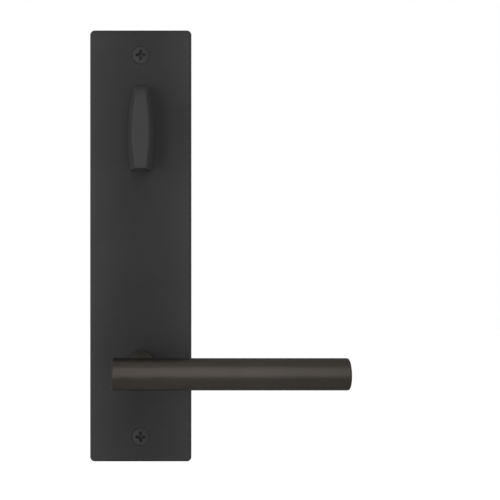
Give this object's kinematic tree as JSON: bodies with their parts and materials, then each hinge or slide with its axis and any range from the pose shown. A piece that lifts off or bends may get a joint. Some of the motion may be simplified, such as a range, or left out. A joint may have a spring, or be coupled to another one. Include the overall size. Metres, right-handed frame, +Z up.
{
  "type": "door lever on backplate",
  "caption": "Straight round door lever on a long rectangular backplate, with a barrel-shaped locking turn above it and square spindles and screws that pass through the door.",
  "frame": {"origin": "the lever's turning axis where it crosses the door's face, the plane that the backplate's rim rests on", "axes": "+X along the lever bar to its free end, +Y from the handle into the door along the spindles, +Z up along the backplate"},
  "size_m": [0.131, 0.111, 0.234],
  "materials": {
    "plate_black": "satin",
    "turn_black": "satin",
    "screw_black": "satin",
    "lever_bronze": "satin",
    "zinc_steel": "satin",
    "dark_steel": "satin",
    "spring_steel": "satin",
    "nylon": "matte"
  },
  "bodies": {
    "plate": {"backplate": "plate_black", "fixing_screw_top": "screw_black", "fixing_screw_bottom": "screw_black", "lever_bush": "nylon", "turn_bush": "nylon", "spring_cover": "zinc_steel", "cover_screw_1": "zinc_steel", "cover_screw_2": "zinc_steel", "cover_screw_3": "zinc_steel", "cover_screw_4": "zinc_steel", "return_spring": "spring_steel", "detent_spring": "spring_steel"},
    "lever": {"lever_bar": "lever_bronze", "lever_neck": "lever_bronze", "bar_screw": "dark_steel", "lever_spindle": "zinc_steel", "lever_grub_screw": "dark_steel", "lever_washer": "nylon", "lever_follower": "zinc_steel", "lever_circlip": "dark_steel"},
    "turn": {"turn_knob": "turn_black", "turn_washer": "nylon", "turn_circlip": "dark_steel", "detent_cam": "zinc_steel", "turn_spindle": "zinc_steel", "turn_pin": "dark_steel"}
  },
  "joints": [
    {"name": "lever_hinge", "type": "hinge", "parent": "plate", "child": "lever", "pos_m": [0, 0, 0], "axis": [0, 1, 0], "range_deg": [0, 45], "stiffness_Nm_per_rad": 0.31, "springref_deg": -74.48, "deforming": ["return_spring"]},
    {"name": "turn_hinge", "type": "hinge", "parent": "plate", "child": "turn", "pos_m": [0, 0, 0.127], "axis": [0, 1, 0], "range_deg": [0, 90], "deforming": ["detent_spring"]}
  ]
}
